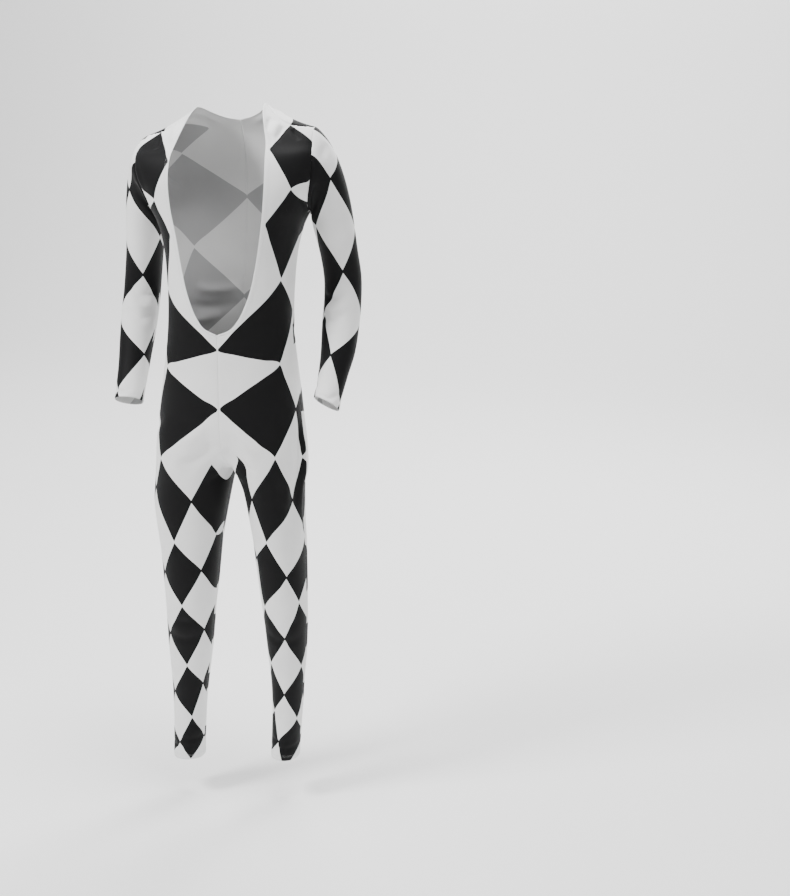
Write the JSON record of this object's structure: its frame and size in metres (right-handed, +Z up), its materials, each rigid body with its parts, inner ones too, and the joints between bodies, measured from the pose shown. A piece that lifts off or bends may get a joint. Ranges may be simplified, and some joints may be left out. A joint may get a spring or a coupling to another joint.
{
  "type": "harlequin unitard costume",
  "caption": "Long-sleeved, ankle-length stretch unitard with a deep plunging front, filled out as worn, in a black and white harlequin lozenge print.",
  "frame": {"origin": "middle of the line between the two side-neck points of the neckline, where the costume hangs on the shoulders", "axes": "+Z up towards the neck, the front faces -Y, the wearer's left is +X"},
  "size_m": [0.5331, 0.2225, 1.4439],
  "materials": {
    "stretch_knit": "smooth matt knit with a faint sheen, printed with near-black lozenges"
  },
  "bodies": {
    "root": {"front_left": "stretch_knit", "front_right": "stretch_knit", "back_left": "stretch_knit", "back_right": "stretch_knit", "sleeve_left": "stretch_knit", "sleeve_right": "stretch_knit"}
  },
  "joints": []
}
